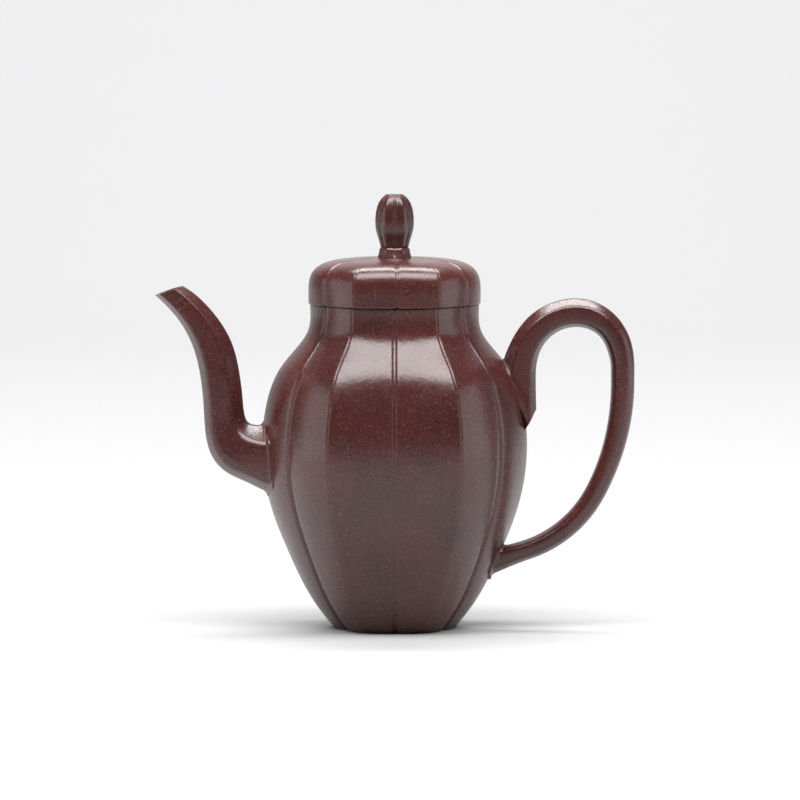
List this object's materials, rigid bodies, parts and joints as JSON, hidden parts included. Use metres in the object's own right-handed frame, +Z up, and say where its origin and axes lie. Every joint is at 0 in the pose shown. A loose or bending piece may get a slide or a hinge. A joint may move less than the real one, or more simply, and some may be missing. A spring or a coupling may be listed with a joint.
{
  "type": "teapot",
  "caption": "Tall ribbed yixing clay teapot with a curved faceted spout, an ear-shaped handle and a lift-off ribbed lid with a bud knob.",
  "frame": {"origin": "on the table, centre of the foot under the belly's axis", "axes": "+Z up; spout towards -X, handle towards +X; plane y = 0 is the pot's plane of symmetry"},
  "size_m": [0.1697, 0.087, 0.1524],
  "materials": {
    "burnished_clay": "unglazed purple-brown clay, burnished to a soft satin sheen, fine pale specks",
    "plain_clay": "unglazed purple-brown clay, matt, slightly sandy"
  },
  "bodies": {
    "pot": {"belly_lower": "burnished_clay", "belly_upper": "burnished_clay", "base_plate": "plain_clay", "base_slip": "plain_clay", "neck_slip": "plain_clay", "neck_collar": "burnished_clay", "spout_tube": "burnished_clay", "strainer_dome": "plain_clay", "handle_loop": "burnished_clay"},
    "lid_lifter": {"lid_slip": "plain_clay"},
    "lid": {"lid_shell": "burnished_clay", "lid_flange": "plain_clay", "knob_collar": "burnished_clay", "knob_bud": "burnished_clay"}
  },
  "joints": [
    {"name": "lid_lift", "type": "slide", "parent": "pot", "child": "lid_lifter", "axis": [0, 0, 1], "range_m": [0, 0.06]},
    {"name": "lid_turn", "type": "hinge", "parent": "lid_lifter", "child": "lid", "pos_m": [0, 0, 0.114], "axis": [0, 0, 1], "continuous": true}
  ]
}
